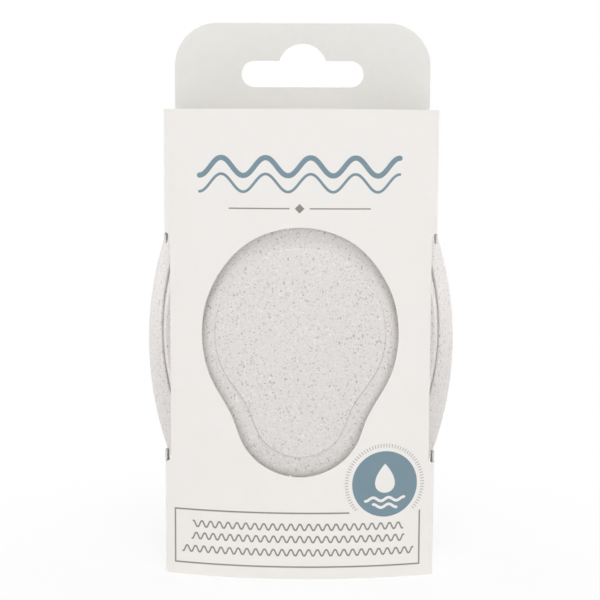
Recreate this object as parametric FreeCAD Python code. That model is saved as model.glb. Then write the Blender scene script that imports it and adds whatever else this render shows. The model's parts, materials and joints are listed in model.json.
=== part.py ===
import FreeCAD, Part
import os

os.makedirs("parts", exist_ok=True)

# box as a whole
box_width = 83.7
box_length = 119.5
box_end_share = 0.885
wall = 1.8
seam_gap = 0.15
rim_chamfer = 0.35
full_turn = 360

# base shell
base_depth = 15.65
base_round = 13.2
base_depth_shares = [0.0, 0.33, 0.62, 0.84, 0.955, 1.0]
base_inset_shares = [0.0, 0.038, 0.167, 0.41, 0.71, 1.0]

# lid shell
band_depth = 9.5
band_swell = 0.7
shoulder_inset = 4.25
shoulder_top_inset = 7.65
shoulder_low_inset = 7.85
shoulder_rise = 4.1
shoulder_top_share = 0.918
shoulder_low_share = 0.58
groove_land = 0.4
groove_width = 0.4
groove_depth = 0.5
dome_height = 9.5
dome_bow_share = 0.812818
dome_long_radius = 600.0
flank_extra = 3.5
flank_shares = [1.0, 0.985, 0.95, 0.88, 0.76, 0.6]
flank_power_share = 2.2
plateau_rise = 0.3
plateau_inset = 4.5
plateau_slope = 2.5
plateau_fall = 1.3
tongue_gap = 0.2
tongue_lead = 0.4
tongue_wall = 1.2
tongue_depth = 3.5

# drain tray
tray_gap = 0.6
tray_plate = 1.4
tray_rib = 1.2
tray_rib_width = 1.6
tray_rib_half = 27.0
tray_foot = 2.5
tray_foot_x = 15.0
tray_foot_row_share = 2.5
tray_foot_gap = 0.1
tray_pitch = 9.0
tray_slot_width = 3.2
tray_slot_in = 4.0
tray_slot_out = 26.0
tray_finger = 9.0
tray_end_margin = 6.0

# card sleeve, folded from one blank
card = 0.5
side_bulge = 5.85
front_bow = 5.5
front_gap = 0.4
back_gap = 0.3
low_gap = 1.45
top_gap = 3.05
crease_gap = 0.06
flap_width = 12.0
flap_taper = 3.0
flap_lap = 0.1

# hanging tab and its slot
tab_height = 25.0
tab_corner = 12.0
tab_clear = 0.3
hang_width = 34.4
hang_band = 7.4
hang_rise = 7.2
hang_lobe = 6.9
hang_lobe_rise = 5.3
round_end_share = 0.49

# pear shaped window
window_width = 51.7
window_height = 65.9
window_low = 27.6
window_rise_shares = [0.0228, 0.0728, 0.1442, 0.226, 0.3126, 0.4006]
window_rise_shares += [0.5008, 0.5827, 0.707, 0.8346, 0.938, 0.9863]
window_wide_shares = [0.271, 0.464, 0.596, 0.673, 0.791, 0.915]
window_wide_shares += [0.9865, 1.0, 0.953, 0.791, 0.532, 0.255]

# side slots that the box looks out of
slot_side_gap = 0.3
slot_end_gap = 1.14
slot_swell = 7.9
slot_run = 4.9
slot_ease = 3.0
slot_reach = 2.8
slot_notch = 1.6
slot_corner = 1.4
flap_slot_gap = 4.0

# places that follow from the sizes
sleeve_width = box_width - 2 * side_bulge
depth = 2 * card + back_gap + base_depth + seam_gap + band_depth + dome_height + front_gap
y_front = -depth / 2
y_back = depth / 2
y_crease = y_front + front_bow
y_side_mid = (y_crease + y_back) / 2
sleeve_half = sleeve_width / 2
sleeve_height = low_gap + box_length + top_gap
bow_radius = (sleeve_half ** 2 + front_bow ** 2) / (2 * front_bow)
bow_centre = y_front + bow_radius
dome_radius = bow_radius * dome_bow_share
inner_half = sleeve_half - card
y_inner_corner = bow_centre - ((bow_radius - card) ** 2 - inner_half ** 2) ** 0.5
flap_face = inner_half - flap_lap
box_half = box_width / 2
box_up = box_length / 2
box_end = box_half * box_end_share
box_mid = low_gap + box_up
y_base = y_back - card - back_gap
y_seam = y_base - base_depth
cavity_depth = base_depth - wall
y_lid = y_seam - seam_gap
y_shoulder = y_lid - band_depth
z_shoulder = box_mid + shoulder_rise
shoulder_half = box_half - shoulder_inset
shoulder_up = box_up - shoulder_top_inset - shoulder_rise
shoulder_down = box_up - shoulder_low_inset + shoulder_rise
shoulder_top = shoulder_half * shoulder_top_share
shoulder_low = shoulder_half * shoulder_low_share


def vec(x, y, z):
    return FreeCAD.Vector(x, y, z)


def line(a, b):
    return Part.LineSegment(a, b).toShape()


def prism(wire, way):
    return Part.Face(wire).extrude(way)


def slab(corners, way):
    return prism(Part.makePolygon(corners + corners[:1]), way)


def side_radius(half, reach, end):
    return (half ** 2 + (reach - end) ** 2 - end ** 2) / (2 * (half - end))


def quarter(y, half, z_wide, reach, end, side, rise):
    radius = side_radius(half, reach, end)
    hub = vec(side * (half - radius), y, z_wide)
    meet = hub + vec(side * (radius - half), 0, rise * (reach - end)).normalize() * radius
    tip = vec(0, y, z_wide + rise * reach)
    turn = hub + (vec(side * half, y, z_wide) - hub + meet - hub).normalize() * radius
    flank = Part.Arc(vec(side * half, y, z_wide), turn, meet)
    return meet, tip, flank.toShape()


def egg(y, half, z_wide, up, down, top_end, low_end):
    right_top, top, right_high = quarter(y, half, z_wide, up, top_end, 1, 1)
    left_top, top, left_high = quarter(y, half, z_wide, up, top_end, -1, 1)
    right_foot, foot, right_low = quarter(y, half, z_wide, down, low_end, 1, -1)
    left_foot, foot, left_low = quarter(y, half, z_wide, down, low_end, -1, -1)
    top_arc = Part.Arc(right_top, top, left_top).toShape()
    foot_arc = Part.Arc(left_foot, foot, right_foot).toShape()
    return Part.Wire([right_high, top_arc, left_high, left_low, foot_arc, right_low])


def box_oval(y, inset):
    reach = box_up - inset
    return egg(y, box_half - inset, box_mid, reach, reach, box_end - inset, box_end - inset)


def shoulder_egg(y, inset, share):
    sizes = [shoulder_half, shoulder_up, shoulder_down, shoulder_top, shoulder_low]
    half, up, down, top_end, low_end = [(size - inset) * share for size in sizes]
    return egg(y, half, z_shoulder, up, down, top_end, low_end)


def loft(wires):
    return Part.makeLoft(wires, True, False)


def frustum(wire_a, wire_b):
    return Part.makeLoft([wire_a, wire_b], True, True)


def closed_curve(points):
    curve = Part.BSplineCurve()
    curve.interpolate(Points=points, PeriodicFlag=True)
    return curve


def pear(y, inset):
    half = window_width / 2
    right = []
    left = []
    for rise, wide in zip(window_rise_shares, window_wide_shares):
        right.append(vec(half * wide, y, window_low + window_height * rise))
        left.insert(0, vec(-half * wide, y, window_low + window_height * rise))
    points = [vec(0, y, window_low)] + right + [vec(0, y, window_low + window_height)] + left
    edge = closed_curve(points)
    moved = []
    for point in points:
        way = edge.tangent(edge.parameter(point))[0]
        moved.append(point + vec(-way.z, 0, way.x) * inset)
    return Part.Wire(closed_curve(moved).toShape())


def rounded_box(corner, sizes, radius, picks):
    block = Part.makeBox(sizes.x, sizes.y, sizes.z, corner)
    chosen = []
    for edge in block.Edges:
        level = edge.Vertexes[0].Point - edge.Vertexes[1].Point
        if level.x == 0 and level.z == 0 and picks(edge.CenterOfMass):
            chosen.append(edge)
    return block.makeFillet(radius, chosen)


def every(middle):
    return True


def split_high_low(shape):
    pieces = sorted(shape.Solids, key=lambda solid: solid.CenterOfMass.z)
    return pieces[1], pieces[0]


# slot outlines shared by the panels
slot_side_radius = side_radius(box_half, box_up, box_end)
slot_width_left = slot_side_radius - box_half + inner_half - slot_side_gap
slot_mid_half = (slot_side_radius ** 2 - slot_width_left ** 2) ** 0.5 + slot_end_gap
slot_half = slot_mid_half - slot_swell
slot_top = box_mid + slot_half
slot_low = box_mid - slot_half
slot_x = -sleeve_width
high_start = vec(slot_x, y_crease, slot_top)
high_swell_start = vec(slot_x, y_crease + slot_run, slot_top)
high_mid = vec(slot_x, y_side_mid, slot_top + slot_swell)
high_swell_end = vec(slot_x, y_back - slot_run, slot_top)
high_end = vec(slot_x, y_back, slot_top)
low_start = vec(slot_x, y_back, slot_low)
low_swell_start = vec(slot_x, y_back - slot_run, slot_low)
low_mid = vec(slot_x, y_side_mid, slot_low - slot_swell)
low_swell_end = vec(slot_x, y_crease + slot_run, slot_low)
low_end = vec(slot_x, y_crease, slot_low)
high_swell = Part.Arc(high_swell_start, high_mid, high_swell_end).toShape()
low_swell = Part.Arc(low_swell_start, low_mid, low_swell_end).toShape()
slot_edges = [line(high_start, high_swell_start), high_swell, line(high_swell_end, high_end)]
slot_edges.append(line(high_end, low_start))
slot_edges += [line(low_start, low_swell_start), low_swell, line(low_swell_end, low_end)]
slot_edges.append(line(low_end, high_start))
side_slot = prism(Part.Wire(slot_edges), vec(2 * sleeve_width, 0, 0))
swell_edges = []
for edge in side_slot.Edges:
    span = edge.Vertexes[0].Point - edge.Vertexes[-1].Point
    off_mid = abs(edge.CenterOfMass.y - y_side_mid)
    if span.y == 0 and span.z == 0 and off_mid < y_back - y_side_mid - slot_run / 2:
        swell_edges.append(edge)
side_slot = side_slot.makeFillet(slot_ease, swell_edges)
notch_corner = vec(sleeve_half - slot_notch, 2 * y_front, slot_low - slot_reach)
notch_sizes = vec(sleeve_half, 4 * y_back, 2 * slot_half + 2 * slot_reach)
notch_right = rounded_box(notch_corner, notch_sizes, slot_corner, lambda middle: middle.x < sleeve_half)
notch_left = notch_right.mirror(vec(0, 0, 0), vec(1, 0, 0))

# front panel, bowed by the box, with the window
outer_left = vec(-sleeve_half, y_crease, 0)
outer_right = vec(sleeve_half, y_crease, 0)
inner_left = vec(-inner_half, y_inner_corner, 0)
inner_right = vec(inner_half, y_inner_corner, 0)
front_outer = Part.Arc(outer_left, vec(0, y_front, 0), outer_right).toShape()
front_inner = Part.Arc(inner_right, vec(0, y_front + card, 0), inner_left).toShape()
right_mitre = line(outer_right, inner_right)
left_mitre = line(inner_left, outer_left)
front_wire = Part.Wire([front_outer, right_mitre, front_inner, left_mitre])
front_panel = prism(front_wire, vec(0, 0, sleeve_height))
window = prism(pear(2 * y_front, 0), vec(0, -2 * y_front, 0))
front_panel = front_panel.cut(window).cut(notch_left).cut(notch_right)

# side panels, each cut by its slot into a high and a low piece
side_rise = vec(0, 0, sleeve_height)
left_corners = [vec(-sleeve_half, y_crease + crease_gap, 0)]
left_corners.append(vec(-sleeve_half, y_back - crease_gap, 0))
left_corners.append(vec(-inner_half, y_back - card - crease_gap, 0))
left_corners.append(vec(-inner_half, y_inner_corner + crease_gap, 0))
left_high, left_low = split_high_low(slab(left_corners, side_rise).cut(side_slot))
right_corners = [vec(sleeve_half, y_crease + crease_gap, 0)]
right_corners.append(vec(sleeve_half, y_back, 0))
right_corners.append(vec(inner_half, y_back, 0))
right_corners.append(vec(inner_half, y_inner_corner + crease_gap, 0))
right_high, right_low = split_high_low(slab(right_corners, side_rise).cut(side_slot))

# back panel with the hanging tab
tab_foot = sleeve_height + tab_clear
back_corners = [vec(-sleeve_half, y_back, 0), vec(flap_face, y_back, 0)]
back_corners.append(vec(flap_face, y_back - card, 0))
back_corners.append(vec(-inner_half, y_back - card, 0))
back_panel = slab(back_corners, vec(0, 0, tab_foot)).cut(notch_left).cut(notch_right)
tab_place = vec(-sleeve_half, y_back - card, tab_foot)
tab_sizes = vec(sleeve_width, card, tab_height - tab_clear)
tab = rounded_box(tab_place, tab_sizes, tab_corner, lambda middle: middle.z > tab_foot)
hang_low = sleeve_height + hang_rise
hang_place = vec(-hang_width / 2, 0, hang_low)
hang_sizes = vec(hang_width, 2 * y_back, hang_band)
hang_slot = rounded_box(hang_place, hang_sizes, hang_band * round_end_share, every)
lobe_place = vec(0, 0, hang_low + hang_lobe_rise)
lobe = Part.makeCylinder(hang_lobe, 2 * y_back, lobe_place, vec(0, 1, 0))
lobe_keep_place = vec(-hang_width / 2, 0, hang_low + hang_band / 2)
lobe_keep = Part.makeBox(hang_width, 2 * y_back, hang_width, lobe_keep_place)
back_panel = back_panel.fuse(tab).cut(hang_slot).cut(lobe.common(lobe_keep)).removeSplitter()


# glue flap, high and low piece
def flap(z_low, z_high):
    x = flap_face - card
    y_root = y_back - card - crease_gap
    y_tip = y_back - flap_width
    corners = [vec(x, y_root, z_low), vec(x, y_tip, z_low + flap_taper)]
    corners += [vec(x, y_tip, z_high - flap_taper), vec(x, y_root, z_high)]
    return slab(corners, vec(card, 0, 0))


flap_slot_half = slot_mid_half + flap_slot_gap
flap_high = flap(box_mid + flap_slot_half, sleeve_height)
flap_low = flap(0, box_mid - flap_slot_half)

# base shell
base_wires = []
cavity_wires = []
for share, inset in zip(base_depth_shares, base_inset_shares):
    base_wires.append(box_oval(y_seam + base_depth * share, base_round * inset))
    cavity_wires.append(box_oval(y_seam + cavity_depth * share, wall + base_round * inset))
rim_ring = prism(box_oval(y_seam, 0), vec(0, rim_chamfer, 0))
rim_keep = frustum(box_oval(y_seam, rim_chamfer), box_oval(y_seam + rim_chamfer, 0))
base_shell = loft(base_wires).cut(rim_ring.cut(rim_keep)).cut(loft(cavity_wires))


# lid shell
def band_egg(y, inset):
    half = (box_half + shoulder_half) / 2 + band_swell - inset
    up = (box_up + shoulder_up) / 2 + band_swell - inset
    down = (box_up + shoulder_down) / 2 + band_swell - inset
    top_end = (box_end + shoulder_top) / 2 + band_swell - inset
    low_end = (box_end + shoulder_low) / 2 + band_swell - inset
    return egg(y, half, (box_mid + z_shoulder) / 2, up, down, top_end, low_end)


def flank(y_foot, inset):
    wires = []
    for share in flank_shares:
        rise = flank_height * (1 - share ** flank_power_share) ** 0.5
        wires.append(shoulder_egg(y_foot - rise, inset, share))
    return loft(wires)


def crown(y_crest):
    y_axis = y_crest + dome_radius
    y_turned = y_axis + dome_radius
    y_end = y_turned - dome_long_radius + (dome_long_radius ** 2 - box_up ** 2) ** 0.5
    low = vec(0, y_end, z_shoulder - box_up)
    high = vec(0, y_end, z_shoulder + box_up)
    axis_low = vec(0, y_axis, z_shoulder - box_up)
    axis_high = vec(0, y_axis, z_shoulder + box_up)
    face_arc = Part.Arc(low, vec(0, y_turned, z_shoulder), high).toShape()
    outline = [face_arc, line(high, axis_high), line(axis_high, axis_low), line(axis_low, low)]
    return Part.Face(Part.Wire(outline)).revolve(vec(0, y_axis, 0), vec(0, 0, 1), full_turn)


y_band = y_lid - rim_chamfer
lid_rim = frustum(box_oval(y_lid, rim_chamfer), box_oval(y_band, 0))
band = loft([box_oval(y_band, 0), band_egg((y_band + y_shoulder) / 2, 0), shoulder_egg(y_shoulder, 0, 1)])
y_dome = y_shoulder + groove_depth
recess = prism(shoulder_egg(y_dome, groove_land, 1), vec(0, -2 * groove_depth, 0))
dome_inset = groove_land + groove_width
flank_height = dome_height + groove_depth + flank_extra
y_crest = y_shoulder - dome_height
dome_skin = flank(y_dome, dome_inset).common(crown(y_crest))
y_edge = y_crest + plateau_fall
pear_low = pear(y_edge + plateau_slope, plateau_inset - plateau_slope)
pear_high = pear(y_edge - plateau_slope, plateau_inset + plateau_slope)
plateau = frustum(pear_low, pear_high).common(crown(y_crest - plateau_rise))
tongue_out = wall + tongue_gap
tongue_tip = tongue_out + tongue_lead
tongue_in = tongue_tip + tongue_wall
tongue = frustum(box_oval(y_lid, tongue_out), box_oval(y_lid + tongue_depth, tongue_tip))
lid_outer = band.cut(recess).fuse(lid_rim).fuse(tongue).fuse(dome_skin).fuse(plateau)
hollow_in = dome_inset + wall
hollow_foot = prism(box_oval(y_lid + 2 * tongue_depth, tongue_in), vec(0, -2 * tongue_depth, 0))
hollow_mid = band_egg((y_lid + y_shoulder) / 2, wall)
hollow_band = loft([box_oval(y_lid, tongue_in), hollow_mid, shoulder_egg(y_dome + wall / 2, hollow_in, 1)])
hollow_dome = flank(y_dome + wall, hollow_in).common(crown(y_crest + wall))
lid_shell = lid_outer.cut(hollow_foot).cut(hollow_band).cut(hollow_dome).removeSplitter()

# drain tray
y_tray = y_seam + cavity_depth * base_depth_shares[2]
y_tray_top = y_tray - tray_plate
y_tray_cut = y_tray_top - tray_plate / 2
tray_inset = wall + base_round * base_inset_shares[2] + tray_gap
tray = prism(box_oval(y_tray, tray_inset), vec(0, -tray_plate, 0))
tray_end = box_up - tray_inset
for z_end in (box_mid - tray_end, box_mid + tray_end):
    finger = Part.makeCylinder(tray_finger, 2 * tray_plate, vec(0, y_tray_cut, z_end), vec(0, 1, 0))
    tray = tray.cut(finger)
tray_rows = 1 + 2 * int((tray_end - tray_finger - tray_end_margin) / tray_pitch)
tray_first = box_mid - tray_pitch * (tray_rows - 1) / 2
drain_sizes = vec(tray_slot_out - tray_slot_in, 2 * tray_plate, tray_slot_width)
drain_round = tray_slot_width * round_end_share
for row in range(tray_rows):
    z_drain = tray_first + row * tray_pitch - tray_slot_width / 2
    for x_drain in (-tray_slot_out, tray_slot_in):
        tray = tray.cut(rounded_box(vec(x_drain, y_tray_cut, z_drain), drain_sizes, drain_round, every))
for row in range(tray_rows - 1):
    z_rib = tray_first + row * tray_pitch + tray_pitch / 2 - tray_rib_width / 2
    rib_place = vec(-tray_rib_half, y_tray_top - tray_rib, z_rib)
    tray = tray.fuse(Part.makeBox(2 * tray_rib_half, tray_rib + tray_plate / 2, tray_rib_width, rib_place))
y_foot = y_tray - tray_plate / 2
foot_length = y_seam + cavity_depth - tray_foot_gap - y_foot
foot_rise = tray_foot_row_share * tray_pitch
for x_foot in (-tray_foot_x, tray_foot_x):
    for z_foot in (box_mid - foot_rise, box_mid + foot_rise):
        foot_place = vec(x_foot, y_foot, z_foot)
        tray = tray.fuse(Part.makeCylinder(tray_foot, foot_length, foot_place, vec(0, 1, 0)))
tray = tray.removeSplitter()

nodes = {
    "base_shell": base_shell,
    "drain_tray": tray,
    "lid_shell": lid_shell,
    "sleeve_back": back_panel,
    "sleeve_flap_high": flap_high,
    "sleeve_flap_low": flap_low,
    "sleeve_left_high": left_high,
    "sleeve_left_low": left_low,
    "sleeve_front": front_panel,
    "sleeve_right_high": right_high,
    "sleeve_right_low": right_low,
}
for name, shape in nodes.items():
    shape.exportStep("parts/" + name + ".step")
    print(name, shape.isValid(), len(shape.Solids), round(shape.Volume, 1))
print("depth", round(depth, 3), "height", round(sleeve_height, 3))
print("slot", round(slot_half, 3), round(slot_mid_half, 3))
print("seam", round(y_seam, 3), "crease", round(y_crease, 3), "flap face", round(flap_face, 3))
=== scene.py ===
import bpy
import bmesh
import json
from math import atan2, cos, hypot, pi, radians, sin, tan
from mathutils import Matrix, Vector


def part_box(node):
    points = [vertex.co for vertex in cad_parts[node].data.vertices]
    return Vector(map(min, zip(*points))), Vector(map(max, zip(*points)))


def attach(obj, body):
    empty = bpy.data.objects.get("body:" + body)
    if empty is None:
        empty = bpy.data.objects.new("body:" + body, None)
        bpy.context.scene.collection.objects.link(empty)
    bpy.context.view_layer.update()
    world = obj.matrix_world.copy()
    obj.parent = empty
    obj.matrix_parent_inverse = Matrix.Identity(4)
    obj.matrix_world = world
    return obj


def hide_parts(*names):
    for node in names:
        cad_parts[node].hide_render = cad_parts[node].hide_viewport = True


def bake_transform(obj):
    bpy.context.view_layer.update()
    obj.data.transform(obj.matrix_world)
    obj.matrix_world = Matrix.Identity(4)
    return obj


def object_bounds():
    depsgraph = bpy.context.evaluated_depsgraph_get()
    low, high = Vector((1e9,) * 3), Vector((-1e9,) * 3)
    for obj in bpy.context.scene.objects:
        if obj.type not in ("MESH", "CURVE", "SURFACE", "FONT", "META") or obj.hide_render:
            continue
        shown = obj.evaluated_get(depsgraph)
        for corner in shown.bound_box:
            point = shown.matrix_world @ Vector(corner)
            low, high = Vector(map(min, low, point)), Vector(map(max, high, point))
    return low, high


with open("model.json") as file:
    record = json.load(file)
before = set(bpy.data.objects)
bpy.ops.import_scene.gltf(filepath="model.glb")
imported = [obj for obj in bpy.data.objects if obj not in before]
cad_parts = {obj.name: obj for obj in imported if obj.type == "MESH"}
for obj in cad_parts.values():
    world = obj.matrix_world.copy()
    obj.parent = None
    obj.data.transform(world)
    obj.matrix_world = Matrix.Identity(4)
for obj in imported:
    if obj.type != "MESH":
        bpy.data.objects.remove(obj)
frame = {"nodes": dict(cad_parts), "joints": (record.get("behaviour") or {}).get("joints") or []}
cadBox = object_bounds()
mm = 0.001

# places read from the frame
creases = {joint["name"]: Vector(joint["pos_m"]) for joint in frame["joints"] if "crease" in joint["name"]}
flapLow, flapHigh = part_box("sleeve_flap_high")
cardThick = flapHigh.x - flapLow.x
frontLow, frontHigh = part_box("sleeve_front")
frontCrease = creases["right_front_crease"]
bowSag = frontCrease.y - frontLow.y
bowRadius = (frontCrease.x ** 2 + bowSag ** 2) / (2 * bowSag)
bowCentre = frontLow.y + bowRadius
bowLean = atan2(frontCrease.x, bowCentre - frontCrease.y)  # how far the front leans back at its creases
sleeveTop = frontHigh.z
notchPast = 2.8 * mm  # how far the front's and the back's notches pass the ends of the side slots
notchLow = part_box("sleeve_left_low")[1].z - notchPast
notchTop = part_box("sleeve_left_high")[0].z + notchPast
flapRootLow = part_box("sleeve_flap_low")[1].z
flapRootTop = flapLow.z


class Wire:  # a shader socket that takes part in plain sums
    def __init__(self, finish, socket):
        self.finish = finish
        self.socket = socket

    def calc(self, operation, *others, clamp=False):
        settings = {"operation": operation, "use_clamp": clamp}
        return self.finish.node("ShaderNodeMath", settings, dict(enumerate((self, *others))))

    def __add__(self, other):
        return self.calc("ADD", other)

    def __radd__(self, other):
        return self.calc("ADD", other)

    def __sub__(self, other):
        return self.calc("SUBTRACT", other)

    def __rsub__(self, other):
        return self.finish.node("ShaderNodeMath", {"operation": "SUBTRACT"}, {0: other, 1: self})

    def __mul__(self, other):
        return self.calc("MULTIPLY", other)

    def __rmul__(self, other):
        return self.calc("MULTIPLY", other)

    def __truediv__(self, other):
        return self.calc("DIVIDE", other)

    def __abs__(self):
        return self.calc("ABSOLUTE")

    def most(self, other):
        return self.calc("MAXIMUM", other)

    def least(self, other):
        return self.calc("MINIMUM", other)

    def above(self, level):
        return self.calc("GREATER_THAN", level)

    def clamped(self):
        return self.calc("ADD", 0, clamp=True)

    def upFrom(self, lowest):  # squeezes 0 to 1 into lowest to 1
        return lowest + (1 - lowest) * self

    def within(self, edge):  # 1 where this distance is below zero, fading over the edge's width
        return (0.5 - self / edge).clamped()


class Finish:  # one material and its nodes
    def __init__(self, name):
        self.material = bpy.data.materials.new(name)
        self.material.use_nodes = True
        self.nodes = self.material.node_tree.nodes
        self.links = self.material.node_tree.links
        self.shader = self.nodes["Principled BSDF"]

    def node(self, kind, settings=None, inputs=None, output=0):
        made = self.nodes.new(kind)
        for key, value in (settings or {}).items():
            setattr(made, key, value)
        for key, value in (inputs or {}).items():
            self.feed(self.pick(made.inputs, key), value)
        return Wire(self, self.pick(made.outputs, output))

    def pick(self, sockets, key):
        if isinstance(key, int):
            return sockets[key]
        return next(socket for socket in sockets if key in (socket.identifier, socket.name))

    def feed(self, socket, value):
        if isinstance(value, Wire):
            self.links.new(value.socket, socket)
        else:
            socket.default_value = value

    def surface(self, **values):
        for key, value in values.items():
            self.feed(self.shader.inputs[key.replace("_", " ")], value)

    def place(self):  # object coordinates, in metres
        return self.node("ShaderNodeTexCoord", output="Object")

    def split(self, vector):
        parts = self.node("ShaderNodeSeparateXYZ", inputs={0: vector})
        outs = parts.socket.node.outputs
        return Wire(self, outs[0]), Wire(self, outs[1]), Wire(self, outs[2])

    def turned(self, vector, turn, scale):
        inputs = {"Vector": vector, "Rotation": turn, "Scale": scale}
        return self.node("ShaderNodeMapping", inputs=inputs)

    def noise(self, vector, grain):
        if "lie" in grain:  # grain drawn out one way, as fibres are
            vector = self.turned(vector, (0, 0, 0), grain["lie"])
        inputs = {"Vector": vector, "Scale": 1 / grain["size"],
                  "Detail": grain["detail"], "Roughness": grain["rough"]}
        return self.node("ShaderNodeTexNoise", inputs=inputs)

    def cells(self, vector, layer):
        vector = self.turned(vector, layer["turn"], layer["lie"])
        distance = self.node("ShaderNodeTexVoronoi", inputs={"Vector": vector, "Scale": 1 / layer["size"]})
        colour = Wire(self, distance.socket.node.outputs["Color"])
        return distance, self.split(colour)

    def mix(self, share, low, high):
        settings = {"data_type": "RGBA"}
        inputs = {"Factor_Float": share, "A_Color": low, "B_Color": high}
        return self.node("ShaderNodeMix", settings, inputs, output="Result_Color")

    def bump(self, height, distance, strength):
        inputs = {"Height": height, "Distance": distance, "Strength": strength}
        return self.node("ShaderNodeBump", inputs=inputs)

    def seenRays(self):  # 1 for what is looked at, straight on, mirrored or through something clear
        seen = self.node("ShaderNodeLightPath", output="Is Camera Ray")
        outs = seen.socket.node.outputs
        for kind in ("Is Glossy Ray", "Is Transmission Ray"):
            seen = seen.most(Wire(self, outs[kind]))
        return seen


class Backdrop(Finish):  # the world's nodes, used in the same way
    def __init__(self, name):
        self.world = bpy.data.worlds.new(name)
        self.world.use_nodes = True
        self.nodes = self.world.node_tree.nodes
        self.links = self.world.node_tree.links
        self.shader = self.nodes["Background"]


def tone(red, green, blue, alpha=1.0):  # a colour read off a screen, 0 to 255, as Blender wants it
    def linear(level):
        share = level / 255
        return share / 12.92 if share <= 0.04045 else ((share + 0.055) / 1.055) ** 2.4
    return (linear(red), linear(green), linear(blue), alpha)


# speckled plastic
plastic = {
    "body": tone(226, 222, 220),
    "clouded": tone(221, 217, 215),
    "gritty": tone(213, 208, 205),
    "dark": tone(152, 147, 143),
    "pale": tone(238, 236, 234),
    "cloud": {"size": 14 * mm, "detail": 3.0, "rough": 0.5},
    "grit": {"size": 0.6 * mm, "detail": 3.0, "rough": 0.65},
    "grain": {"size": 0.25 * mm, "detail": 2.0, "rough": 0.5},
    "gritFrom": 0.42,  # noise level where the grit begins to show
    "gritGain": 2.4,
    "gritShare": 0.5,
    "fleckFade": 0.14,  # width of a fleck's soft edge, in cells
    "fleckRise": 0.2,  # against the grain's relief
    "leastWidth": 0.4,
    "leastDark": 0.35,
    "leastPale": 0.4,
    "gloss": 0.44,
    "glossCloud": 0.16,
    "ior": 1.48,
    "deep": 0.02 * mm,
    "bump": 0.5,
    "flecks": (  # shares of the cells that are dark or pale, radius in cells, strength of the dark ones
        {"size": 0.95 * mm, "dark": 0.48, "pale": 0.10, "radius": 0.30, "strength": 0.66,
         "lie": (1.0, 1.0, 0.6), "turn": (0, 0.5, 0)},
        {"size": 0.62 * mm, "dark": 0.54, "pale": 0.22, "radius": 0.36, "strength": 0.64,
         "lie": (0.65, 1.0, 1.0), "turn": (0, -0.8, 0.3)},
        {"size": 0.44 * mm, "dark": 0.50, "pale": 0.32, "radius": 0.40, "strength": 0.54,
         "lie": (1.0, 1.0, 0.75), "turn": (0.4, 0.2, 0)},
    ),
}


def speckledPlastic(name):
    finish = Finish(name)
    place = finish.place()
    cloud = finish.noise(place, plastic["cloud"])
    grit = finish.noise(place, plastic["grit"])
    gritty = ((grit - plastic["gritFrom"]) * plastic["gritGain"]).clamped() * plastic["gritShare"]
    colour = finish.mix(cloud, plastic["body"], plastic["clouded"])
    colour = finish.mix(gritty, colour, plastic["gritty"])
    relief = finish.noise(place, plastic["grain"])
    for layer in plastic["flecks"]:
        distance, (chance, width, shade) = finish.cells(place, layer)
        radius = layer["radius"] * width.upFrom(plastic["leastWidth"])
        fleck = (distance - radius).within(plastic["fleckFade"])
        strength = layer["strength"] * shade.upFrom(plastic["leastDark"])
        dark = fleck * chance.above(1 - layer["dark"]) * strength
        pale = fleck * (1 - chance.above(layer["pale"])) * shade.upFrom(plastic["leastPale"])
        colour = finish.mix(dark, colour, plastic["dark"])
        colour = finish.mix(pale, colour, plastic["pale"])
        relief = relief + fleck * plastic["fleckRise"]
    gloss = plastic["gloss"] + plastic["glossCloud"] * cloud
    finish.surface(Base_Color=colour, Roughness=gloss, IOR=plastic["ior"])
    finish.surface(Normal=finish.bump(relief, plastic["deep"], plastic["bump"]))
    return finish.material


# printing on the front, in mm from its middle and up from its foot
ink = {
    "slate": tone(111, 135, 148),
    "slateClouded": tone(122, 147, 158),
    "grey": tone(137, 134, 128),
    "paleGrey": tone(192, 191, 188),
    "edge": 0.09,  # width of the soft edge of a printed line
}
badge = {
    "x": 22.84,
    "z": 25.5,
    "radius": 8.85,
    "clear": 12.2,  # the label's border stops this far from the badge's middle
    "ticks": 84,
    "tickRing": 10.35,
    "tickLong": 1.0,
    "tickHalf": 0.16,
    "tickFoot": -7.0,  # no ticks lower than this
}
drop = {"foot": -2.4, "high": 8.0, "full": 7.2, "inset": 0.08, "edge": 0.12}  # from the badge's middle
ripples = (
    {"z": -4.1, "wide": 8.4, "crest": 0.45, "pitch": 4.2, "line": 0.75},
    {"z": -5.9, "wide": 6.3, "crest": 0.45, "pitch": 4.2, "line": 0.75},
)
label = {"x": -0.6, "z": 10.6, "wide": 66.2, "high": 14.6, "line": 0.42}
labelRows = (
    {"x": -0.4, "z": 14.1, "wide": 55.2, "crest": 0.78, "pitch": 2.4, "line": 0.46},
    {"x": -0.4, "z": 10.8, "wide": 57.0, "crest": 0.78, "pitch": 2.33, "line": 0.46},
    {"x": -0.4, "z": 7.2, "wide": 62.4, "crest": 0.78, "pitch": 2.35, "line": 0.46},
)
swells = (
    {"x": -0.4, "z": 109.2, "wide": 52.5, "crest": 2.3, "pitch": 11.67, "line": 1.35},
    {"x": -0.4, "z": 105.0, "wide": 52.5, "crest": 2.3, "pitch": 11.67, "line": 0.7},
)
rule = {"x": -0.3, "z": 98.4, "wide": 37.0, "line": 0.34, "lozenge": 1.25, "gap": 2.6}


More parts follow.
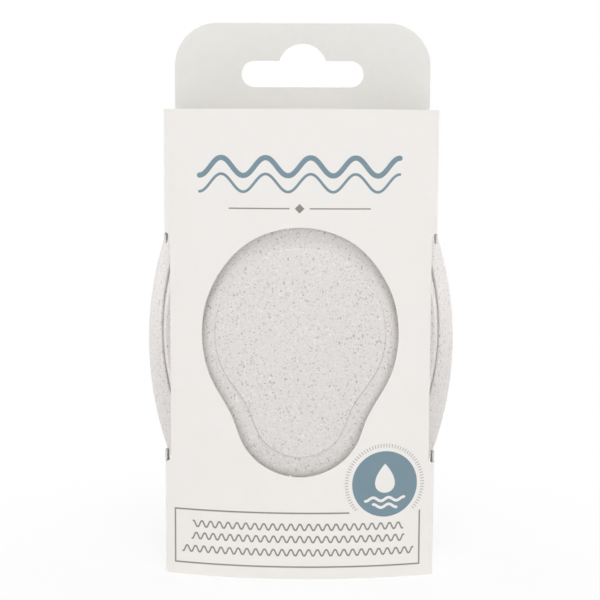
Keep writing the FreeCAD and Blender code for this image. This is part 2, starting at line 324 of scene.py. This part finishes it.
def waveLine(across, up, wave):  # a wave that ends on a crest or in a trough, with round ends
    half = (round(wave["wide"] / wave["pitch"] - 0.5) + 0.5) * wave["pitch"] / 2
    reach = across.most(-half).least(half)
    turn = reach * (2 * pi / wave["pitch"])
    slope = turn.calc("COSINE") * (2 * pi * wave["crest"] / wave["pitch"])
    lean = (1 + slope * slope).calc("SQRT")
    off = abs(up - turn.calc("SINE") * wave["crest"])
    past = abs(across - reach)
    along = off / lean
    beyond = (off * off + past * past).calc("SQRT")
    away = along + (beyond - along) * past.above(0)
    return (away - wave["line"] / 2).within(ink["edge"])


def printedRule(across, up):  # a thin rule broken by a lozenge
    bar = (abs(up) - rule["line"] / 2).most(abs(across) - rule["wide"] / 2)
    bar = bar.most(rule["gap"] - abs(across)).within(ink["edge"])
    lozenge = (abs(across) + abs(up) - rule["lozenge"]).within(ink["edge"])
    return bar.most(lozenge)


def badgeMotif(x, z):  # a drop over two ripples
    rise = ((z - drop["foot"]) / drop["high"]).clamped()
    half = rise.calc("SQRT") * (1 - rise) * drop["full"]
    motif = (abs(x) - half + drop["inset"]).within(drop["edge"])
    for ripple in ripples:
        motif = motif.most(waveLine(x, z - ripple["z"], ripple))
    return motif


def badgeTicks(x, z, away):  # a ring of short ticks, open at its foot
    around = z.calc("ARCTAN2", x) / (2 * pi)
    tickStep = 2 * pi * badge["tickRing"] / badge["ticks"]
    tick = abs((around * badge["ticks"]).calc("FRACT") - 0.5) * tickStep - badge["tickHalf"]
    ring = abs(away - badge["tickRing"]) - badge["tickLong"] / 2
    return tick.most(ring).most(badge["tickFoot"] - z).within(ink["edge"])


def printOn(finish, place, colour, cloud):
    x, y, z = finish.split(place)
    across = (x / bowRadius).calc("ARCSINE") * (bowRadius / mm)
    up = z / mm
    blue = finish.mix(cloud, ink["slate"], ink["slateClouded"])
    badgeX = across - badge["x"]
    badgeZ = up - badge["z"]
    fromBadge = (badgeX * badgeX + badgeZ * badgeZ).calc("SQRT")
    disc = (fromBadge - badge["radius"]).within(ink["edge"])
    colour = finish.mix(disc * (1 - badgeMotif(badgeX, badgeZ)), colour, blue)
    colour = finish.mix(badgeTicks(badgeX, badgeZ, fromBadge), colour, ink["paleGrey"])

    pastSides = abs(across - label["x"]) - label["wide"] / 2
    pastEnds = abs(up - label["z"]) - label["high"] / 2
    border = abs(pastSides.most(pastEnds)) - label["line"] / 2
    grey = border.most(badge["clear"] - fromBadge).within(ink["edge"])
    for row in labelRows:
        grey = grey.most(waveLine(across - row["x"], up - row["z"], row))
    grey = grey.most(printedRule(across - rule["x"], up - rule["z"]))
    colour = finish.mix(grey, colour, ink["grey"])

    inked = disc.most(grey)
    for swell in swells:
        stroke = waveLine(across - swell["x"], up - swell["z"], swell)
        colour = finish.mix(stroke, colour, blue)
        inked = inked.most(stroke)
    return colour, inked


# the card's finishes
coating = {
    "body": tone(239, 236, 233),
    "clouded": tone(236, 233, 229),
    "cloud": {"size": 9 * mm, "detail": 4.0, "rough": 0.6},
    "fibre": {"size": 0.22 * mm, "detail": 3.0, "rough": 0.5, "lie": (1, 1, 0.4)},
    "gloss": 0.55,
    "glossCloud": 0.12,
    "glossInk": 0.1,
    "ior": 1.45,
    "deep": 0.012 * mm,
    "bump": 0.5,
}
crackle = {  # fine cracks in the coating along a crease
    "colour": tone(226, 223, 217),
    "grain": {"size": 0.18 * mm, "detail": 4.0, "rough": 0.7, "lie": (1, 1, 0.12)},
    "from": 0.56,  # noise level where a crack begins
    "gain": 9,
    "share": 0.6,
    "sink": 1.5,  # against the fibres' relief
}
glueStrip = {  # a ragged strip of dried glue along the flap
    "colour": tone(229, 221, 200),
    "grain": {"size": 2.2 * mm, "detail": 4.0, "rough": 0.6},
    "middle": 11.6,  # back from the frame's origin, in mm
    "half": 2.6,
    "ragged": 4.5,
    "edge": 0.5,
    "share": 0.7,
    "glossCoat": 0.25,
    "glossRaw": 0.4,
}
rawSide = {
    "body": tone(240, 239, 236),
    "clouded": tone(231, 229, 224),
    "fleck": tone(205, 200, 192),
    "cloud": {"size": 3 * mm, "detail": 5.0, "rough": 0.65},
    "fibre": {"size": 0.3 * mm, "detail": 4.0, "rough": 0.5, "lie": (1, 1, 0.25)},
    "cloudShare": 0.6,
    "fibreShare": 0.4,
    "flecks": {"size": 0.8 * mm, "lie": (1, 1, 0.3), "turn": (0.3, 0.5, 0)},
    "fleckRadius": 0.12,  # in cells
    "fleckFade": 0.08,
    "fleckFrom": 0.85,  # the share of cells without a fleck
    "fleckShare": 0.5,
    "gloss": 0.8,
    "glossFibre": 0.1,
    "ior": 1.4,
    "deep": 0.03 * mm,
    "bump": 0.6,
}
# cut edges of the board: its grey-core tone, darkened further as painted shade, so a thin dark line shows
# round the window's rim
cutSideWithShade = {
    "body": tone(204, 199, 192),
    "fibrous": tone(168, 161, 153),
    "fibre": {"size": 0.12 * mm, "detail": 4.0, "rough": 0.7},
    "gloss": 0.84,
    "glossFibre": 0.1,
    "deep": 0.03 * mm,
    "bump": 0.7,
}


def glueSmear(finish, place):
    x, y, z = finish.split(place)
    ragged = finish.noise(place, glueStrip["grain"])
    strip = abs(y / mm - glueStrip["middle"]) - glueStrip["half"]
    return (strip + (ragged - 0.5) * glueStrip["ragged"]).within(glueStrip["edge"])


def coatedCard(name, printed=False, creased=False, glued=False):
    finish = Finish(name)
    place = finish.place()
    cloud = finish.noise(place, coating["cloud"])
    fibre = finish.noise(place, coating["fibre"])
    colour = finish.mix(cloud, coating["body"], coating["clouded"])
    gloss = coating["gloss"] + coating["glossCloud"] * cloud
    relief = fibre
    if printed:
        colour, inked = printOn(finish, place, colour, cloud)
        gloss = gloss - coating["glossInk"] * inked
    if creased:
        crack = ((finish.noise(place, crackle["grain"]) - crackle["from"]) * crackle["gain"]).clamped()
        colour = finish.mix(crack * crackle["share"], colour, crackle["colour"])
        relief = fibre - crack * crackle["sink"]
    if glued:
        smear = glueSmear(finish, place)
        colour = finish.mix(smear * glueStrip["share"], colour, glueStrip["colour"])
        gloss = gloss - glueStrip["glossCoat"] * smear
    finish.surface(Base_Color=colour, Roughness=gloss, IOR=coating["ior"])
    finish.surface(Normal=finish.bump(relief, coating["deep"], coating["bump"]))
    return finish.material


def rawCard(name, glued=False):
    finish = Finish(name)
    place = finish.place()
    cloud = finish.noise(place, rawSide["cloud"])
    fibre = finish.noise(place, rawSide["fibre"])
    clouded = cloud * rawSide["cloudShare"] + fibre * rawSide["fibreShare"]
    colour = finish.mix(clouded, rawSide["body"], rawSide["clouded"])
    distance, (chance, width, shade) = finish.cells(place, rawSide["flecks"])
    fleck = (distance - rawSide["fleckRadius"] * width).within(rawSide["fleckFade"])
    fleck = fleck * chance.above(rawSide["fleckFrom"])
    colour = finish.mix(fleck * rawSide["fleckShare"] * shade, colour, rawSide["fleck"])
    gloss = rawSide["gloss"] + rawSide["glossFibre"] * fibre
    if glued:
        smear = glueSmear(finish, place)
        colour = finish.mix(smear * glueStrip["share"], colour, glueStrip["colour"])
        gloss = gloss - glueStrip["glossRaw"] * smear
    finish.surface(Base_Color=colour, Roughness=gloss, IOR=rawSide["ior"])
    finish.surface(Normal=finish.bump(fibre, rawSide["deep"], rawSide["bump"]))
    return finish.material


# the cut edges' finish: board core colour plus painted shade
def cutEdgeWithShade(name):
    finish = Finish(name)
    fibre = finish.noise(finish.place(), cutSideWithShade["fibre"])
    colour = finish.mix(fibre, cutSideWithShade["body"], cutSideWithShade["fibrous"])
    finish.surface(Base_Color=colour, Roughness=cutSideWithShade["gloss"] + cutSideWithShade["glossFibre"] * fibre)
    finish.surface(Normal=finish.bump(fibre, cutSideWithShade["deep"], cutSideWithShade["bump"]))
    return finish.material


cardCoat = coatedCard("cardCoat")
cardPrint = coatedCard("cardPrint", printed=True)
cardCrease = coatedCard("cardCrease", creased=True)
cardFlap = coatedCard("cardFlap", glued=True)
cardRaw = rawCard("cardRaw")
cardRawGlue = rawCard("cardRawGlue", glued=True)
cardCutWithShade = cutEdgeWithShade("cardCutWithShade")
shellPlastic = speckledPlastic("shellPlastic")
print("finishes made:", len(bpy.data.materials))

# moulded pieces keep their shape and get the speckled finish
for node in ("base_shell", "lid_shell", "drain_tray"):
    frame["nodes"][node].material_slots[0].material = shellPlastic


# card panels
bend = {
    "reach": 0.8 * mm,  # from the crease line to where a panel is flat
    "steps": 14,
    "tiny": 0.001 * mm,  # nearer places are the same place
    "sharp": 35,  # degrees
    "facing": 0.5,  # a face looks a way when its normal leans that way by more than this
}
bow = {
    "strips": 60,
    "snap": 0.12 * mm,  # how far a vertex is brought to the true round
    "flat": 0.5,  # degrees between faces that are merged first
}
ahead = Vector((0, -1, 0))
aback = Vector((0, 1, 0))
toRight = Vector((1, 0, 0))
toLeft = Vector((-1, 0, 0))
upright = Vector((0, 0, 1))
inFromLeft = Vector((cos(bowLean), -sin(bowLean), 0))  # along the front, from its left crease
inFromRight = Vector((-cos(bowLean), -sin(bowLean), 0))


def outOfBow(place):
    return Vector((place.x, place.y - bowCentre, 0)).normalized()


def bowFace(x, radius=bowRadius):  # the front's printed face, or one behind it
    return bowCentre - (radius ** 2 - x ** 2) ** 0.5


def copyOf(node):
    bm = bmesh.new()
    bm.from_mesh(frame["nodes"][node].data)
    bmesh.ops.remove_doubles(bm, verts=bm.verts, dist=bend["tiny"])
    return bm


def cutThrough(bm, place, normal):
    everything = bm.verts[:] + bm.edges[:] + bm.faces[:]
    bmesh.ops.bisect_plane(bm, geom=everything, dist=bend["tiny"], plane_co=place, plane_no=normal)


def closeUp(bm):
    bmesh.ops.holes_fill(bm, edges=[side for side in bm.edges if side.is_boundary])


def trim(bm, crease, way, low=0.0, high=sleeveTop):  # takes the panel back from a crease, for its bend
    edge = creases[crease] + way * bend["reach"]
    cutThrough(bm, edge, way)
    cutThrough(bm, upright * low, upright)
    cutThrough(bm, upright * high, upright)
    beyond = []
    for face in bm.faces:
        middle = face.calc_center_median()
        if (middle - edge).dot(way) < 0 and low - bend["tiny"] < middle.z < high + bend["tiny"]:
            beyond.append(face)
    bmesh.ops.delete(bm, geom=beyond, context="FACES")
    closeUp(bm)
    for level in (low, high):
        ledge = []
        for vert in bm.verts:
            if abs(vert.co.z - level) < bend["tiny"] and abs((vert.co - edge).dot(way)) < bend["tiny"]:
                ledge.append(vert)
        bmesh.ops.connect_verts(bm, verts=ledge)


def isRim(face):  # a face across the card's thickness
    return abs(face.normal.dot(outOfBow(face.calc_center_median()))) < bend["facing"]


def roundBow(bm):  # many narrow strips, so that the bow is smooth
    flush = []
    for side in bm.edges:
        if len(side.link_faces) == 2 and side.calc_face_angle() < radians(bow["flat"]):
            if all(isRim(face) for face in side.link_faces):
                flush.append(side)
    bmesh.ops.dissolve_edges(bm, edges=flush)
    for strip in range(1, bow["strips"]):
        turn = bowLean * (2 * strip / bow["strips"] - 1)
        cutThrough(bm, toRight * (sin(turn) * bowRadius), toRight)
    for vert in bm.verts:
        reach = hypot(vert.co.x, vert.co.y - bowCentre)
        for radius in (bowRadius, bowRadius - cardThick):
            if abs(reach - radius) < bow["snap"]:
                vert.co.y = bowFace(vert.co.x, radius)


def addPiece(name, bm, out, finishes):  # finishes for the outside, the inside and the cut edges
    for face in bm.faces:
        facing = face.normal.dot(out(face.calc_center_median()))
        face.material_index = 0 if facing > bend["facing"] else 1 if facing < -bend["facing"] else 2
        face.smooth = True
    mesh = bpy.data.meshes.new(name)
    bm.to_mesh(mesh)
    bm.free()
    if mesh.has_custom_normals:
        mesh.attributes.remove(mesh.attributes["custom_normal"])
    for finish in finishes:
        mesh.materials.append(finish)
    mesh.set_sharp_from_angle(angle=radians(bend["sharp"]))
    piece = bpy.data.objects.new(name, mesh)
    bpy.context.scene.collection.objects.link(piece)
    return piece


def addPanel(node, body, out, trims, coat=cardCoat, raw=cardRaw):
    bm = copyOf(node)
    if node == "sleeve_front":
        roundBow(bm)
    for place in trims:
        trim(bm, *place)
    piece = addPiece(node.replace("sleeve", "card"), bm, out, (coat, raw, cardCutWithShade))
    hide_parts(node)
    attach(piece, body)


addPanel("sleeve_front", "front", outOfBow,
         [("left_front_crease", inFromLeft), ("right_front_crease", inFromRight)], coat=cardPrint)
addPanel("sleeve_back", "back", lambda place: aback,
         [("left_rear_crease", toRight), ("glue_flap_crease", toLeft, 0.0, flapRootLow),
          ("glue_flap_crease", toLeft, flapRootTop, sleeveTop)])
for level, creased in (("low", (0.0, notchLow)), ("high", (notchTop, sleeveTop))):
    addPanel("sleeve_left_" + level, "left", lambda place: toLeft,
             [("left_rear_crease", ahead, *creased), ("left_front_crease", aback, *creased)])
    addPanel("sleeve_right_" + level, "right", lambda place: toRight,
             [("right_front_crease", aback, *creased)], raw=cardRawGlue)
    addPanel("sleeve_flap_" + level, "flap", lambda place: toRight,
             [("glue_flap_crease", ahead)], coat=cardFlap)

nicks = {
    "wide": 0.9 * mm,  # across the root
    "tip": 0.4 * mm,  # across the tip
    "long": 0.42 * mm,  # into the window
    "sink": 0.3 * mm,  # into the card
    "deep": 0.38 * mm,
    "back": 0.05 * mm,  # behind the printed face
    "soft": 0.08 * mm,
    "segments": 2,
    "near": 8 * mm,  # where the window's rim is looked for, to each side of the middle
    "within": 0.7,  # and up and down, as a share of half the sleeve's height
    "places": ((-3.3 * mm, 1), (-2.4 * mm, -1)),  # across, and 1 for the top of the window
}


def windowRim(x, side):  # the place on the window's rim nearest to x, above or below the middle
    middle = sleeveTop / 2
    near = []
    for vert in frame["nodes"]["sleeve_front"].data.vertices:
        rise = (vert.co.z - middle) * side
        if abs(vert.co.x) < nicks["near"] and 0 < rise < nicks["within"] * middle:
            near.append(vert.co)
    return min(near, key=lambda place: abs(place.x - x))


def addNicks():  # stubs left where the cut-out piece of the window was held
    high = nicks["long"] + nicks["sink"]
    bm = bmesh.new()
    for x, side in nicks["places"]:
        y = bowFace(x) + nicks["back"] + nicks["deep"] / 2
        z = windowRim(x, side).z - side * (high / 2 - nicks["sink"])
        stub = bmesh.ops.create_cube(bm, size=1)["verts"]
        tip = [vert for vert in stub if vert.co.z * side < 0]
        bmesh.ops.scale(bm, vec=(nicks["wide"], nicks["deep"], high), verts=stub)
        bmesh.ops.scale(bm, vec=(nicks["tip"] / nicks["wide"], 1, 1), verts=tip)
        bmesh.ops.translate(bm, vec=(x, y, z), verts=stub)
    bmesh.ops.bevel(bm, geom=bm.edges[:], offset=nicks["soft"], segments=nicks["segments"],
                    affect="EDGES", profile=0.5, material=-1)
    piece = addPiece("window_nicks", bm, outOfBow, (cardCoat, cardCutWithShade, cardCutWithShade))
    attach(piece, "front")


addNicks()
print("card panels made")

# bends at the creases, where two panels meet
flapSlope = 0.26  # of the flap's slanting ends
sideRanges = ((0.0, 0.0, notchLow, 0.0), (notchTop, 0.0, sleeveTop, 0.0))  # low, its slope, high, its slope
flapRanges = ((0.0, flapSlope, flapRootLow, -flapSlope), (flapRootTop, flapSlope, sleeveTop, -flapSlope))
bends = (
    {"crease": "left_rear_crease", "bodies": ("back", "left"),
     "ways": (toRight, ahead), "ranges": sideRanges},
    {"crease": "left_front_crease", "bodies": ("front", "left"),
     "ways": (inFromLeft, aback), "ranges": sideRanges},
    {"crease": "right_front_crease", "bodies": ("front", "right"),
     "ways": (inFromRight, aback), "ranges": sideRanges},
    {"crease": "glue_flap_crease", "bodies": ("back", "flap"),
     "ways": (toLeft, ahead), "ranges": flapRanges},
)


def addBend(item):
    corner = Vector((creases[item["crease"]].x, creases[item["crease"]].y, 0))
    wayA, wayB = item["ways"]
    turn = pi - wayA.angle(wayB)
    radius = bend["reach"] / tan(turn / 2)
    outA = -(wayB - wayA * wayB.dot(wayA)).normalized()
    outB = -(wayA - wayB * wayA.dot(wayB)).normalized()
    start = corner + wayA * bend["reach"]
    end = corner + wayB * bend["reach"]
    inner = start - outA * cardThick
    hub = start - outA * radius
    sense = 1 if outA.cross(outB).z > 0 else -1
    bm = bmesh.new()
    for low, lowSlope, high, highSlope in item["ranges"]:
        foot = upright * low
        head = upright * high
        ring = [bm.verts.new(place) for place in (start + foot, start + head, inner + head, inner + foot)]
        sides = [bm.edges.new((ring[i - 1], ring[i])) for i in range(len(ring))]
        bmesh.ops.spin(bm, geom=ring + sides, cent=hub, axis=upright, angle=sense * turn, steps=bend["steps"])
        for vert in bm.verts:
            along = max(0.0, (vert.co - corner).dot(wayB))  # follows the flap's slanting ends
            if abs(vert.co.z - low) < bend["tiny"]:
                vert.co.z += along * lowSlope
            elif abs(vert.co.z - high) < bend["tiny"]:
                vert.co.z += along * highSlope
    closeUp(bm)
    bmesh.ops.recalc_face_normals(bm, faces=bm.faces)

    def out(place):
        return Vector((place.x - hub.x, place.y - hub.y, 0)).normalized()

    name = item["crease"].replace("_crease", "_bend")
    piece = addPiece(name, bm, out, (cardCrease, cardRaw, cardCutWithShade))
    start - outA * cardThick
    end - outB * cardThick
    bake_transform(piece)


for item in bends:
    addBend(item)
print("crease bends made:", len(bends))

# stage
stage = {
    "half": 3.0,
    "paper": (0.82, 0.82, 0.82, 1),
    "lit": 0.2,  # share of the floor's light that comes from the lamps, close to the object
    "near": 0.04,
    "far": 0.13,  # from here on the floor is plain white
}


def makeFloor():
    bm = bmesh.new()
    bmesh.ops.create_grid(bm, x_segments=1, y_segments=1, size=stage["half"])
    mesh = bpy.data.meshes.new("floor")
    bm.to_mesh(mesh)
    bm.free()
    floor = bpy.data.objects.new("floor", mesh)
    bpy.context.scene.collection.objects.link(floor)
    finish = Finish("floorPaper")
    finish.surface(Base_Color=stage["paper"], Roughness=1.0)
    x, y, z = finish.split(finish.place())
    away = ((x * x + y * y).calc("SQRT") - stage["near"]) / (stage["far"] - stage["near"])
    white = 1 - stage["lit"] * (1 - away.clamped())  # the object's shadow shows only close to it
    paper = Wire(finish, finish.shader.outputs[0])
    glow = finish.node("ShaderNodeEmission")
    seen = finish.node("ShaderNodeMixShader", inputs={0: finish.seenRays() * white, 1: paper, 2: glow})
    finish.feed(finish.nodes["Material Output"].inputs[0], seen)
    mesh.materials.append(finish.material)


light = {
    "white": (1, 1, 1, 1),
    "fill": 0.11,  # how strongly the white world lights the object
    "boxes": (
        {"name": "keyBox", "from": (0.04, -0.36, 1.12), "size": 0.35, "power": 6.4},
        {"name": "frontBox", "from": (-0.05, -1.15, 0.13), "size": 0.4, "power": 1.6},
        {"name": "backBox", "from": (0.25, 0.85, 0.55), "size": 0.7, "power": 2.4},
        {"name": "leftBox", "from": (-0.62, -0.58, 0.30), "size": 0.6, "power": 1.82},
        {"name": "rightBox", "from": (0.62, -0.58, 0.30), "size": 0.6, "power": 1.76},
        {"name": "leftRim", "from": (-0.80, 0.28, 0.35), "size": 0.6, "power": 3.2},
        {"name": "rightRim", "from": (0.80, 0.28, 0.35), "size": 0.6, "power": 2.9},
    ),
}


def makeWorld():
    studio = Backdrop("studio")
    studio.surface(Color=light["white"], Strength=studio.seenRays().upFrom(light["fill"]))
    bpy.context.scene.world = studio.world


def makeLights():
    aim = (cadBox[0] + cadBox[1]) / 2
    for item in light["boxes"]:
        lamp = bpy.data.lights.new(item["name"], "AREA")
        lamp.shape = "SQUARE"
        lamp.size = item["size"]
        lamp.energy = item["power"]
        made = bpy.data.objects.new(item["name"], lamp)
        made.location = item["from"]
        made.rotation_euler = (aim - made.location).to_track_quat("-Z", "Y").to_euler()
        bpy.context.scene.collection.objects.link(made)


lens = {
    "focalPixels": 1358.09,
    "framePixels": 600,
    "sensor": 36,  # mm
    "nearest": 10 * mm,
    "from": (2.98 * mm, -369.57 * mm, 112.37 * mm),
    "pitch": 6.119,  # degrees, down
    "yaw": -0.499,
    "roll": 0.289,
}


def makeCamera():
    pitch = radians(lens["pitch"])
    yaw = radians(lens["yaw"])
    roll = radians(lens["roll"])
    gaze = Vector((sin(yaw) * cos(pitch), cos(yaw) * cos(pitch), -sin(pitch)))
    right = Vector((cos(yaw), -sin(yaw), 0))
    up = right.cross(gaze)
    tiltedRight = right * cos(roll) + up * sin(roll)
    tiltedUp = up * cos(roll) - right * sin(roll)
    data = bpy.data.cameras.new("camera")
    data.sensor_width = lens["sensor"]
    data.lens = lens["focalPixels"] / lens["framePixels"] * lens["sensor"]
    data.clip_start = lens["nearest"]
    camera = bpy.data.objects.new("camera", data)
    turn = Matrix((tiltedRight, tiltedUp, -gaze)).transposed().to_4x4()
    camera.matrix_world = Matrix.Translation(lens["from"]) @ turn
    bpy.context.scene.collection.objects.link(camera)
    bpy.context.scene.camera = camera


makeFloor()
makeWorld()
makeLights()
makeCamera()
bpy.context.scene.view_settings.view_transform = "Standard"
print("stage set")
